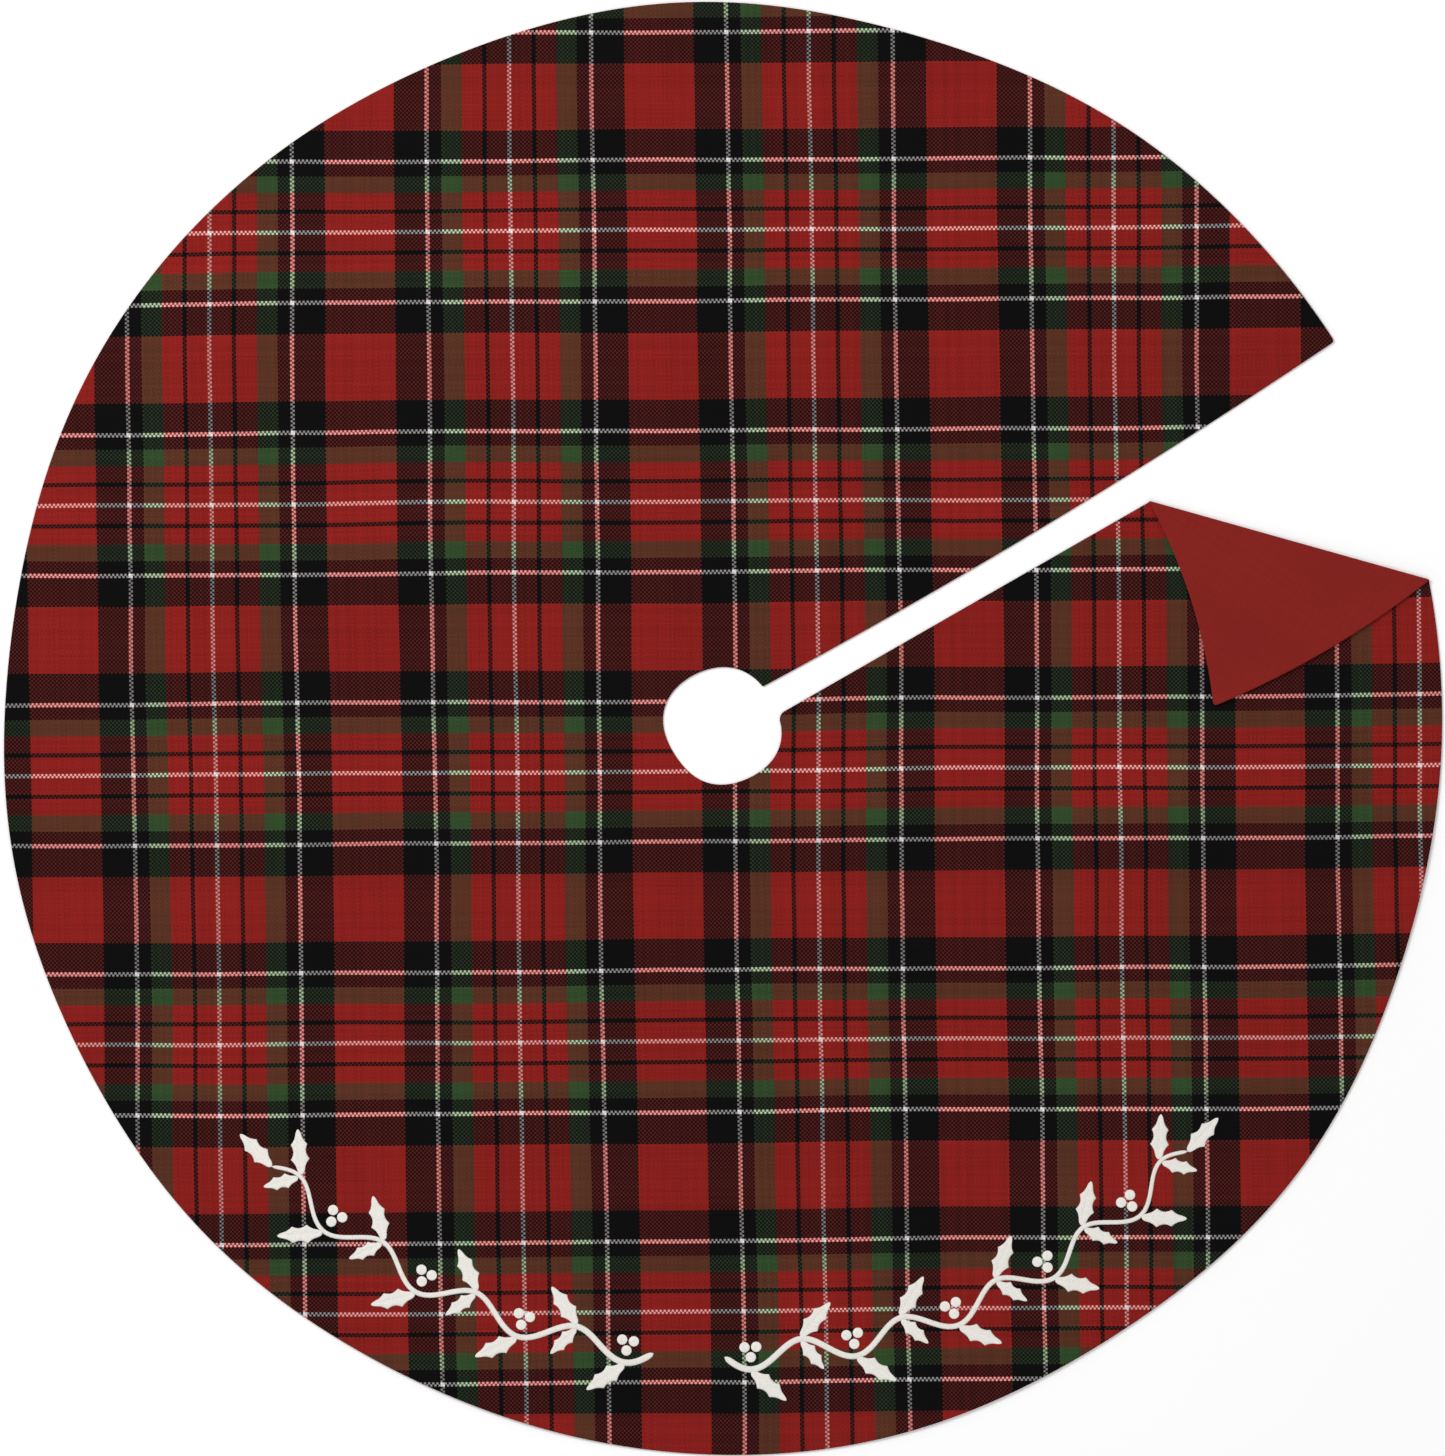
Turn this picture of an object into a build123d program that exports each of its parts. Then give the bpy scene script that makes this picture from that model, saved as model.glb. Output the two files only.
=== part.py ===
# Round cloth tree skirt: a tartan face and a plain lining, bagged out edge to edge over a thin
# interlining, with a hole for the trunk, a slit from the hole to the rim, and one corner of the
# slit turned back on itself so that its lining shows.
#
# Frame: the skirt lies flat, face up. The origin is the centre of the trunk hole, on the underside.
# +X runs along the slit, inside it, from the hole out to the rim, and +Z points up.
# Every piece is drawn flat and unfolded. The corner's pieces are then turned over the crease.

from build123d import *
from math import asin, atan2, cos, degrees, radians, sin, sqrt
import os

os.makedirs("parts", exist_ok=True)

# Driving dimensions, in millimetres and degrees
skirt_radius = 609.6  # a 48 inch round
trunk_radius = 50.0
slit_left_at_trunk, slit_left_at_rim = 13.0, 16.8  # from +X to the slit's left edge, at each end
slit_left_bow = 7.0  # that edge bows this far into the slit
slit_right_at_trunk, slit_right_at_rim = 14.9, 22.6
right_junction_radius = 9.0  # rounding between the hole and the slit's right edge
left_junction_radius = 1.5
slit_corner_radius = 3.0  # where the slit's left edge meets the rim

face_thickness = 0.5
lining_thickness = 0.4
seam_allowance = 10.0  # width of the edges turned in between face and lining
interlining_gap = 0.3  # the interlining is trimmed this far short of the turned-in edges
thread_diameter = 0.4
thread_groove = 0.02  # room around the thread in the two cloths
thread_inset = 1.0  # the seam runs this far in from the edge
seam_end_room = 12.0  # where two edges meet, a seam's path ends about this far short and the next starts
rounding_room = 2.0  # and this far short of a rounded corner

crease_start_x = 406.2  # the crease leaves the slit's right edge here
crease_end_angle = -19.0  # and meets the rim at this angle from +X
corner_tip_x, corner_tip_y = 585.2, 10.0  # the corner's tip when it is laid out flat
corner_slit_bow = 8.9  # how far its slit edge bows in from straight
corner_rim_bow = 7.4  # how far its rim edge bows out from straight
corner_tip_radius = 5.0
fold_gap = 0.8  # between the skirt and the corner lying on it
crease_clearance = 1.2  # each panel stops this far from the crease, which is bent cloth

label_length, label_width, label_thickness = 56.0, 32.0, 0.2
label_x = 300.0  # middle of the care label, which the slit's left seam holds
label_seam_room = 1.0  # between that seam and the label
label_room = 0.3  # round the label in the hollow that it presses into the lining

garland_radius = 530.0  # the embroidery's middle line, round the origin
garland_runs = {"left": (-127.0, -166.5), "right": (-120.5, -73.0)}  # where each grows from and to
half_wave_length = 46.0
wave_height = 11.0  # the stem swings this far to each side of its middle line
stem_width = 6.0
outer_leaf = (38.0, 17.0, 42.0)  # length, width and angle from the stem, on the swing's outside
inner_leaf = (30.0, 14.0, 58.0)  # the same for the leaf in every second hollow
leaf_root = 2.0  # a leaf springs this far from the stem's middle
berry_radius = 4.4
berry_spread = 5.7  # from the middle of a cluster to its berries
berry_offset = 16.0  # from the stem's crest to the cluster in its hollow
stitch_height = 0.4  # the embroidery stands this proud of the face

# Heights in the flat cloth
lining_top = lining_thickness
seam_height = 2 * lining_thickness  # where the two turned-in edges meet
interlining_top = lining_thickness + lining_thickness + face_thickness
cloth_top = interlining_top + face_thickness
crease_height = cloth_top + fold_gap / 2
cutting_room = 60.0  # cutting shapes reach this far past the rim
outside = skirt_radius + cutting_room


def on_circle(radius, angle):
    return Vector(radius * cos(radians(angle)), radius * sin(radians(angle)))


def bow_circle(start, end, bow):
    """Centre and radius of the circle through start and end whose arc bows by bow to the right.

    The centre is to the left of the way from start to end."""
    half = (end - start).length / 2
    radius = (half**2 + bow**2) / (2 * bow)
    way = (end - start).normalized()
    centre = (start + end) * 0.5 + Vector(-way.Y, way.X) * (radius - bow)
    return centre, radius


slit_left_start = Vector(trunk_radius, slit_left_at_trunk)
slit_left_end = Vector(skirt_radius, slit_left_at_rim)
slit_left_centre, slit_left_radius = bow_circle(slit_left_start, slit_left_end, slit_left_bow)


def slit_left(x):
    """The slit's left edge, from +X, at a distance x along it."""
    return slit_left_centre.Y - sqrt(slit_left_radius**2 - (x - slit_left_centre.X) ** 2)


def slit_right(x):
    """The slit's right edge, from +X, at a distance x along it."""
    share = (x - trunk_radius) / (skirt_radius - trunk_radius)
    return slit_right_at_trunk + share * (slit_right_at_rim - slit_right_at_trunk)


# The crease, and the circles that the loose corner's two edges lie on
crease_start = Vector(crease_start_x, -slit_right(crease_start_x))
crease_end = on_circle(skirt_radius, crease_end_angle)
crease_line = (crease_end - crease_start).normalized()
crease_outward = Vector(-crease_line.Y, crease_line.X)
corner_tip = Vector(corner_tip_x, corner_tip_y)
slit_bow_centre, slit_bow_radius = bow_circle(crease_start, corner_tip, corner_slit_bow)
rim_bow_centre, rim_bow_radius = bow_circle(crease_end, corner_tip, corner_rim_bow)


def corner_side(shift, top):
    """The area on the corner's side of the crease, from shift past it, and below top."""
    back = (crease_start.Y + crease_outward.Y * shift - top) / crease_line.Y
    first = crease_start + crease_outward * shift - crease_line * back
    last = crease_end + crease_outward * shift + crease_line * cutting_room
    points = [(first.X, top), (last.X, last.Y), (outside, last.Y), (outside, top)]
    return make_face(Polyline(*points, close=True))


def skirt_outline(inset):
    """The skirt up to the crease, drawn in by inset from every sewn edge."""
    top, near, far = slit_left(outside) + inset, -slit_right(0) - inset, -slit_right(outside) - inset
    below_top = make_face(Polyline((0, top), (outside, top), (outside, far), (0, near), close=True))
    left_cloth = Pos(slit_left_centre.X, slit_left_centre.Y) * Circle(slit_left_radius - inset)
    slit = (Sketch() + below_top) - left_cloth
    sketch = Sketch() + Circle(skirt_radius - inset) - Circle(trunk_radius + inset) - slit
    return sketch - corner_side(-crease_clearance, 0)


def corner_outline(inset):
    """The loose corner, laid out flat, drawn in by inset from its two sewn edges."""
    side = Sketch() + corner_side(crease_clearance, corner_tip_y + corner_tip_radius)
    rim = Pos(rim_bow_centre.X, rim_bow_centre.Y) * Circle(rim_bow_radius - inset)
    slit = Pos(slit_bow_centre.X, slit_bow_centre.Y) * Circle(slit_bow_radius + inset)
    return (side & rim) - slit


def round_corner(sketch, x, y, radius):
    """Rounds the corner of a sketch that is nearest to x, y."""
    corner = min(sketch.vertices(), key=lambda v: (v.X - x) ** 2 + (v.Y - y) ** 2)
    return fillet(corner, radius)


def slab(sketch, low, high):
    return extrude(Pos(0, 0, low) * sketch, high - low)


def on_trunk_hole(y, inset):
    """The slit's end of the trunk hole, drawn in by inset, at a height y."""
    radius = trunk_radius + inset
    return Vector(sqrt(radius**2 - y**2), y)


def rounded_skirt(inset):
    sketch = skirt_outline(inset)
    right = on_trunk_hole(-slit_right_at_trunk - inset, inset)
    left = on_trunk_hole(slit_left_at_trunk + inset, inset)
    sketch = round_corner(sketch, right.X, right.Y, right_junction_radius)
    sketch = round_corner(sketch, left.X, left.Y, left_junction_radius)
    return round_corner(sketch, skirt_radius - inset, slit_left_at_rim + inset, slit_corner_radius)


def rounded_corner(inset):
    sketch = corner_outline(inset)
    return round_corner(sketch, corner_tip.X - inset, corner_tip.Y - inset, corner_tip_radius)


def thread(path, room=0):
    """A thread of sewing along a path, or with some room the groove that it lies in."""
    start = Plane(origin=path @ 0, z_dir=path % 0)
    return sweep(start * Circle(thread_diameter / 2 + room), path=path)


def arc_between(centre, radius, start, end, inset):
    """An arc at the seam's height round centre, from near start to near end, the short way."""
    first = degrees(atan2(start.Y - centre.Y, start.X - centre.X))
    last = degrees(atan2(end.Y - centre.Y, end.X - centre.X))
    margin = degrees(inset / radius)
    size = (last - first + 180) % 360 - 180
    if size < 0:
        margin = -margin
    return CenterArc((centre.X, centre.Y, seam_height), radius, first + margin, size - 2 * margin)


# Where the seams' paths start and end, in the flat cloth
slit_start_x = trunk_radius + seam_end_room
slit_left_end_x = skirt_radius - slit_corner_radius - thread_inset - rounding_room
slit_right_end_x = crease_start_x - 2 * crease_clearance
rim_left_angle = degrees(asin((slit_left_at_rim + seam_end_room / 2) / skirt_radius))
rim_right_angle = crease_end_angle - degrees(2 * crease_clearance / skirt_radius)
trunk_margin = degrees(asin((slit_right_at_trunk + seam_end_room) / trunk_radius))


rim_length = 360 + rim_right_angle - rim_left_angle
trunk_length = 360 - 2 * trunk_margin
rim_path = CenterArc((0, 0, seam_height), skirt_radius - thread_inset, rim_left_angle, rim_length)
trunk_path = CenterArc((0, 0, seam_height), trunk_radius + thread_inset, trunk_margin, trunk_length)
left_slit_path = arc_between(
    slit_left_centre,
    slit_left_radius - thread_inset,
    Vector(slit_start_x, slit_left(slit_start_x)),
    Vector(slit_left_end_x, slit_left(slit_left_end_x)),
    0,
)
right_slit_path = Line(
    *((x, -slit_right(x) - thread_inset, seam_height) for x in (slit_start_x, slit_right_end_x))
)
corner_slit_path = arc_between(
    slit_bow_centre, slit_bow_radius + thread_inset, crease_start, corner_tip, corner_tip_radius
)
corner_rim_path = arc_between(
    rim_bow_centre, rim_bow_radius - thread_inset, crease_end, corner_tip, corner_tip_radius
)
skirt_seams = [rim_path, trunk_path, left_slit_path, right_slit_path]
corner_seams = [corner_slit_path, corner_rim_path]


def bagged_cloth(outline, inner_outline, plate, turned_in, seams):
    """A panel with its edges turned in: a flat sheet and the strip folded inside it."""
    strip = outline - inner_outline
    panel = slab(outline, *plate) + slab(strip, *turned_in)
    for path in seams:
        panel = panel - thread(path, thread_groove)
    return panel


def face(outline, inner_outline, seams):
    plate, turned_in = (interlining_top, cloth_top), (seam_height, interlining_top)
    return bagged_cloth(outline, inner_outline, plate, turned_in, seams)


def lining(outline, inner_outline, seams):
    plate, turned_in = (0, lining_top), (lining_top, seam_height)
    return bagged_cloth(outline, inner_outline, plate, turned_in, seams)


skirt_edge, skirt_inner = rounded_skirt(0), skirt_outline(seam_allowance)
corner_edge, corner_inner = rounded_corner(0), corner_outline(seam_allowance)

# The care label, pressed into the lining's underside beside the slit's left seam
label_y = slit_left(label_x) + thread_inset + label_seam_room + label_width / 2
label = Pos(label_x, label_y, label_thickness / 2) * Box(label_length, label_width, label_thickness)
label_hollow = Pos(label_x, label_y, label_thickness / 2) * Box(
    label_length + label_room, label_width + label_room, label_thickness
)

nodes = {
    "face_panel": face(skirt_edge, skirt_inner, skirt_seams),
    "lining_panel": lining(skirt_edge, skirt_inner, skirt_seams) - label_hollow,
    "interlining": slab(skirt_outline(seam_allowance + interlining_gap), lining_top, interlining_top),
    "care_label": label,
    "rim_seam_thread": thread(rim_path),
    "trunk_hole_seam_thread": thread(trunk_path),
    "slit_left_seam_thread": thread(left_slit_path),
    "slit_right_seam_thread": thread(right_slit_path),
}


# Embroidery: two garlands of stem, leaves and berries that follow the rim, growing outwards
# from the gap between them
def garland_way(run):
    return 1 if run[1] > run[0] else -1


def crests(run):
    """The turning points of a garland's stem: angle, and side, which is 1 outward and -1 inward."""
    arc_length = radians(abs(run[1] - run[0])) * garland_radius
    count = round(arc_length / half_wave_length)
    step = (run[1] - run[0]) / count
    return step, [(run[0] + (k + 0.5) * step, 1 if k % 2 == 0 else -1) for k in range(count)]


def stem(run):
    """The stem: one round-ended arc band for each half wave."""
    step, points = crests(run)
    band = Sketch()
    for angle, side in points:
        before = on_circle(garland_radius, angle - step / 2)
        crest = on_circle(garland_radius + side * wave_height, angle)
        after = on_circle(garland_radius, angle + step / 2)
        band += SlotArc(ThreePointArc(before, crest, after), stem_width)
    return band


def leaf(root, heading, length, width):
    """A pointed leaf from root: where two equal circles overlap."""
    radius = (length**2 + width**2) / (4 * width)
    upper = Pos(length / 2, width / 2 - radius) * Circle(radius)
    lower = Pos(length / 2, radius - width / 2) * Circle(radius)
    return Pos(root.X, root.Y) * Rot(0, 0, heading) * (Sketch() + (upper & lower))


def leaves(run):
    """A leaf outside every swing of the stem, one in every second hollow, and one at the end."""
    placed = []
    way = garland_way(run)
    step, points = crests(run)
    for angle, side in points:
        swings = [(side, outer_leaf)] + ([(-side, inner_leaf)] if side < 0 else [])
        for towards, (length, width, lean) in swings:
            root = on_circle(garland_radius + side * wave_height + towards * leaf_root, angle)
            placed.append(leaf(root, angle + way * (90 - towards * lean), length, width))
    placed.append(leaf(on_circle(garland_radius, run[1]), run[1] + way * 90, *outer_leaf[:2]))
    return [shape - stem(run) for shape in placed]


def berries(run):
    """A cluster of three berries in the hollow of every outward swing."""
    dots = []
    for angle, side in crests(run)[1]:
        if side > 0:
            middle = on_circle(garland_radius + wave_height - berry_offset, angle)
            for turn in (0, 120, 240):
                spot = middle + on_circle(berry_spread, angle + turn)
                dots.append(Pos(spot.X, spot.Y) * Circle(berry_radius))
    return dots


def stitched(sketches):
    """Embroidered shapes standing on the face, as one group of solids."""
    top = cloth_top + stitch_height
    return Compound([solid for shape in sketches for solid in slab(shape, cloth_top, top).solids()])


for side, run in garland_runs.items():
    nodes[f"garland_{side}_stem"] = stitched([stem(run)])
    nodes[f"garland_{side}_leaves"] = stitched(leaves(run))
    nodes[f"garland_{side}_berries"] = stitched(berries(run))

# The loose corner, drawn flat and turned over the crease on to the skirt
crease_axis = Axis((crease_start.X, crease_start.Y, crease_height), (crease_line.X, crease_line.Y, 0))
flat_corner = {
    "corner_face": face(corner_edge, corner_inner, corner_seams),
    "corner_lining": lining(corner_edge, corner_inner, corner_seams),
    "corner_interlining": slab(corner_outline(seam_allowance + interlining_gap), lining_top, interlining_top),
    "corner_slit_seam_thread": thread(corner_slit_path),
    "corner_rim_seam_thread": thread(corner_rim_path),
}
for name, piece in flat_corner.items():
    nodes[name] = piece.rotate(crease_axis, 180)

for name, piece in nodes.items():
    export_step(piece, f"parts/{name}.step")
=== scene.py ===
"""Looks of the round cloth tree skirt: a woven tartan face and a plain red lining, bagged out over a
thin interlining, with two satin-stitched garlands and one corner of the slit turned back.

Lengths are in millimetres until a mesh is made. The frame is the CAD's: the origin is the middle of the
trunk hole, +X runs along the slit and +Z is up. The cloth is cut flat and then laid, which turns the
loose corner over the crease.
"""

from math import asin, cos, pi, radians, sin, tan

import bpy
import numpy as np
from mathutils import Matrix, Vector, geometry


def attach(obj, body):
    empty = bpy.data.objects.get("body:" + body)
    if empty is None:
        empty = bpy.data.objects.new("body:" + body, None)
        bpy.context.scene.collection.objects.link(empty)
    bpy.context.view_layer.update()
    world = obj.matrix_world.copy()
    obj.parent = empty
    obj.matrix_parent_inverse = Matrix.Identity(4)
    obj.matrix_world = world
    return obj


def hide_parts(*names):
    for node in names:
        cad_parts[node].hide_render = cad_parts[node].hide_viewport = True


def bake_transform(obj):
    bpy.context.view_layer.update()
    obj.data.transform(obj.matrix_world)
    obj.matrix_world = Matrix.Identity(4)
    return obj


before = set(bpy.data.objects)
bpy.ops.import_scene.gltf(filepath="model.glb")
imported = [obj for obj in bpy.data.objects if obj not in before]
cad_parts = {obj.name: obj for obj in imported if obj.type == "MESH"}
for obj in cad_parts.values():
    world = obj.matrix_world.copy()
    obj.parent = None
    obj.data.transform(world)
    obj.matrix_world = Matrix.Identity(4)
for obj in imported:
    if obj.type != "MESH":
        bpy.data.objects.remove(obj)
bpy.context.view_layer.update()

MM = 0.001

# The cut, as the CAD has it, but for the corner's tip, which is 3 mm nearer to the slit's left edge
SKIRT_RADIUS = 609.6
TRUNK_RADIUS = 50.0
SLIT_LEFT_ENDS, SLIT_LEFT_BOW = (13.0, 16.8), 7.0  # from +X, at the trunk hole and at the rim
SLIT_RIGHT_ENDS = (14.9, 22.6)
CREASE_START_X, CREASE_END_ANGLE = 406.2, -19.0
CORNER_TIP = np.array((583.7, 12.8))
CORNER_SLIT_BOW, CORNER_RIM_BOW = 8.9, 7.4
SEAM_ALLOWANCE = 10.0
THREAD_INSET, THREAD_DIAMETER = 1.0, 0.4
HEM_CLEARANCE = 0.3  # between the turned-in allowance and the interlining

# Heights in the flat cloth
LINING_TOP, SEAM_HEIGHT, INTERLINING_TOP, CLOTH_TOP = 0.4, 0.8, 1.3, 1.8
CLOTH_MIDDLE = CLOTH_TOP / 2

# The bend at the crease: its middle layer is half a circle that starts a little short of the crease
FOLD_GAP = 0.8
CREASE_HEIGHT = CLOTH_TOP + FOLD_GAP / 2
BEND_RADIUS = CREASE_HEIGHT - CLOTH_MIDDLE
BEND_SETBACK = 1.04
BEND_LENGTH = pi * BEND_RADIUS

# The view from above: the slit points this far round from the right
TURN = radians(30.7)
RIGHT = np.array((cos(TURN), -sin(TURN)))
UP = np.array((sin(TURN), cos(TURN)))


def slit_edge(x, ends, bow=0.0):
    """How far one of the slit's edges is from +X, at a distance x along it."""
    share = (x - TRUNK_RADIUS) / (SKIRT_RADIUS - TRUNK_RADIUS)
    return ends[0] + share * (ends[1] - ends[0]) - 4 * bow * share * (1 - share)


def on_circle(radius, angle):
    """Points round the origin, for angles in degrees."""
    angle = np.radians(angle)
    return np.stack((radius * np.cos(angle), radius * np.sin(angle)), -1)


crease_start = np.array((CREASE_START_X, -slit_edge(CREASE_START_X, SLIT_RIGHT_ENDS)))
crease_end = on_circle(SKIRT_RADIUS, CREASE_END_ANGLE)
crease_line = (crease_end - crease_start) / np.linalg.norm(crease_end - crease_start)
crease_outward = np.array((-crease_line[1], crease_line[0]))
corner_shift = crease_outward * (BEND_LENGTH - 2 * BEND_SETBACK)  # cloth taken up by the bend


# --- The flat cut -------------------------------------------------------------------------------
def rim_radius(angle):
    """The rim's radius at an angle in degrees. It is cut by hand, so it isn't quite round."""
    seen = np.radians(angle) + TURN
    slow = 2.3 * np.sin(2 * seen - 2.2) + 1.1 * np.sin(3 * seen + 0.3) + 1.5 * np.sin(4 * seen - 0.9)
    quick = 1.3 * np.sin(6 * seen - 1.4) + 1.4 * np.sin(8 * seen + 0.6) + 0.7 * np.sin(11 * seen + 2.8)
    return SKIRT_RADIUS - 0.3 + slow + quick


def hole_radius(angle):
    """The trunk hole is just as uneven."""
    seen = np.radians(angle) + TURN
    return TRUNK_RADIUS - 0.9 + 1.8 * np.sin(seen) - 1.4 * np.sin(2 * seen) - 1.1 * np.sin(4 * seen - 0.4)


def bowed(start, end, bow, step):
    """Points from start to end along an arc that bows out by bow to the right of the way."""
    half = np.linalg.norm(end - start) / 2
    radius = (half**2 + bow**2) / (2 * abs(bow))
    way = (end - start) / (2 * half)
    right = np.array((way[1], -way[0])) * np.sign(bow)
    along = np.linspace(-half, half, max(3, round(2 * half / step)))[:, None]
    rise = np.sqrt(radius**2 - along**2) - (radius - abs(bow))
    return (start + end) / 2 + along * way + rise * right


def straight(start, end, step):
    share = np.linspace(0, 1, max(2, round(np.linalg.norm(np.subtract(end, start)) / step)))[:, None]
    return np.asarray(start) + share * np.subtract(end, start)


HOLE_LENGTH, RIM_LENGTH = 300.0, 3700.0  # about, to space the points along them


def edge_runs(step=3.5):
    """The edges in order, with the cloth on the left of the way."""
    sides = SLIT_RIGHT_ENDS, SLIT_LEFT_ENDS
    hole_right, hole_left = (np.degrees(asin(ends[0] / TRUNK_RADIUS)) for ends in sides)
    angles = np.linspace(-hole_right, hole_left - 360, round(HOLE_LENGTH / step))
    hole = on_circle(hole_radius(angles), angles)
    rim_start = np.degrees(asin(SLIT_LEFT_ENDS[1] / rim_radius(0)))
    angles = np.linspace(rim_start, CREASE_END_ANGLE + 360, round(RIM_LENGTH / step))
    rim = on_circle(rim_radius(angles), angles)
    tip = CORNER_TIP + corner_shift
    start = crease_start + corner_shift
    return [
        straight(crease_start, hole[0], step),
        hole,
        bowed(hole[-1], rim[0], SLIT_LEFT_BOW, step),
        rim,
        bowed(rim[-1] + corner_shift, tip, CORNER_RIM_BOW, step),
        bowed(tip, start, -CORNER_SLIT_BOW, step),
    ]


RIGHT_SLIT, HOLE, LEFT_SLIT, RIM, CORNER_RIM, CORNER_SLIT = range(6)
# How far each run's far end is cut back where it is rounded into the next run
CORNER_TRIMS = {RIGHT_SLIT: 6.5, HOLE: 1.1, LEFT_SLIT: 3.0, RIM: 0, CORNER_RIM: 4.2}


TRIM_ROOM, LEAST_STEP = 0.5, 0.05


def rounded_outline(runs):
    """One loop from the runs, with each corner cut back by its trim and rounded."""
    loop = []
    start = 0
    for k, run in enumerate(runs):
        trim = CORNER_TRIMS.get(k, 0)
        points = run[start:]
        start = 0
        if trim:
            corner, after = run[-1], runs[k + 1]
            points = points[np.linalg.norm(points - corner, axis=1) > trim + TRIM_ROOM]
            start = int(np.argmax(np.linalg.norm(after - corner, axis=1) > trim + TRIM_ROOM))
            first = corner + (points[-1] - corner) * trim / np.linalg.norm(points[-1] - corner)
            last = corner + (after[start] - corner) * trim / np.linalg.norm(after[start] - corner)
            t = np.linspace(0, 1, 7)[:, None]
            curve = (1 - t) ** 2 * first + 2 * t * (1 - t) * corner + t**2 * last
            points = np.concatenate((points, curve))
        loop.append(points)
    loop = np.concatenate(loop)
    return loop[np.linalg.norm(loop - np.roll(loop, 1, axis=0), axis=1) > LEAST_STEP]


def inward(points, closed=True):
    """Unit directions into the cloth, on the left of the way."""
    if closed:
        way = np.roll(points, -1, axis=0) - np.roll(points, 1, axis=0)
    else:
        way = np.gradient(points, axis=0)
    way /= np.linalg.norm(way, axis=1)[:, None]
    return np.stack((-way[:, 1], way[:, 0]), -1)


outline = rounded_outline(edge_runs())


def from_edge(points):
    """How far each point is from the cloth's nearest edge."""
    start, way = outline, np.roll(outline, -1, axis=0) - outline
    length2 = (way**2).sum(1)
    nearest = np.empty(len(points))
    for k in range(0, len(points), 2000):
        some = points[k : k + 2000, None] - start[None]
        share = np.clip((some * way).sum(2) / length2, 0, 1)
        nearest[k : k + 2000] = np.sqrt((((some - share[..., None] * way) ** 2).sum(2)).min(1))
    return nearest


def past_crease(points):
    """How far points lie beyond the start of the bend, measured on the flat cloth."""
    return (points - crease_start) @ crease_outward + BEND_SETBACK


SLIT_ROOM = 1.5  # the corner's cloth is at least this far from the slit's left edge


def is_corner(points):
    """Whether points are on the corner's side of the slit and beyond the start of the bend."""
    x, y = points.T
    left_edge = slit_edge(x, SLIT_LEFT_ENDS, SLIT_LEFT_BOW)
    return (past_crease(points) > 0) & (y < left_edge - SLIT_ROOM)


def inset_loop(inset):
    """The outline drawn in by inset."""
    if inset == 0:
        return outline
    moved = outline + inward(outline) * inset
    return moved[from_edge(moved) > inset - 0.02]


EDGE_ROOM = 2.7  # extra loops stay this far inside the cloth
ROW_STEP, ROW_OVERRUN = 5.0, 12
GRID_SKEW = 0.13


def lay_out(insets, grid, extra_loops=(), bend_steps=10):
    """Triangles over the flat cloth inside the first inset: rings along the edges, rows along the bend."""
    spots, edges = [], []

    def add(points, closed):
        first = len(spots)
        spots.extend(points.tolist())
        ends = range(len(points) - (0 if closed else 1))
        edges.extend((first + k, first + (k + 1) % len(points)) for k in ends)
        return list(range(first, len(spots)))

    face = add(inset_loop(insets[0]), True)
    for inset in insets[1:]:
        add(inset_loop(inset), True)
    for loop in extra_loops:
        add(loop[from_edge(loop) > EDGE_ROOM], False)
    width = np.linalg.norm(crease_end - crease_start)
    for k in range(bend_steps + 1):
        row = crease_start + crease_outward * (BEND_LENGTH * k / bend_steps - BEND_SETBACK)
        ends = [row - crease_line * ROW_OVERRUN, row + crease_line * (width + ROW_OVERRUN)]
        add(straight(*ends, ROW_STEP), False)
    ticks = np.arange(-SKIRT_RADIUS - grid, SKIRT_RADIUS + grid, grid)
    inside = np.stack(np.meshgrid(ticks, ticks), -1).reshape(-1, 2)
    inside[::2] += grid * GRID_SKEW
    ring = np.linalg.norm(inside, axis=1)
    inside = inside[(ring < SKIRT_RADIUS) & (ring > TRUNK_RADIUS)]
    beyond = past_crease(inside)
    at_bend = (beyond > -grid / 2) & (beyond < BEND_LENGTH + grid / 2) & (inside[:, 1] < 0)
    inside = inside[~at_bend]
    inside = inside[from_edge(inside) > insets[-1] + grid / 2]
    spots.extend(inside.tolist())
    keep_inside = 1
    made = geometry.delaunay_2d_cdt([Vector(p) for p in spots], edges, [face], keep_inside, 1e-3)
    points, triangles = np.array([tuple(p) for p in made[0]]), np.array(made[2])
    a, b, c = (points[triangles[:, k]] for k in range(3))
    area = np.cross(b - a, c - a)
    triangles[area < 0] = triangles[area < 0][:, ::-1]
    return points, triangles


# --- Laying the cloth ---------------------------------------------------------------------------
FLAP_MIDDLE = np.array((450.0, -138.0))  # the turned corner lies round here, on flat cloth
FLAT_REACH, WAVY_REACH = 150.0, 270.0
WAVE_HEIGHT, PUCKER_HEIGHT, RIDGE_HEIGHT = 1.7, 0.09, 0.10


def smooth(value, low, high):
    """A soft step from 0 at low to 1 at high."""
    t = np.clip((value - low) / (high - low), 0, 1)
    return t * t * (3 - 2 * t)


def waves(points):
    """How far the laid cloth stands off the floor: long low waves that run out to the rim."""
    x, y = points.T
    radius, angle = np.hypot(x, y), np.arctan2(y, x)
    ripple = 0.5 + 0.30 * np.sin(7 * angle + 0.6) + 0.20 * np.sin(11 * angle - 1.1 + radius / 170)
    billow = 0.5 + 0.5 * np.sin(x / 96 + 1.3) * np.sin(y / 118 + 0.4)
    calm = smooth(np.hypot(*(points - FLAP_MIDDLE).T), FLAT_REACH, WAVY_REACH)
    outer = smooth(radius, 120, 600)
    return WAVE_HEIGHT * calm * (outer * ripple * 0.75 + (1 - outer) * 0.25 * billow)


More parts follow.
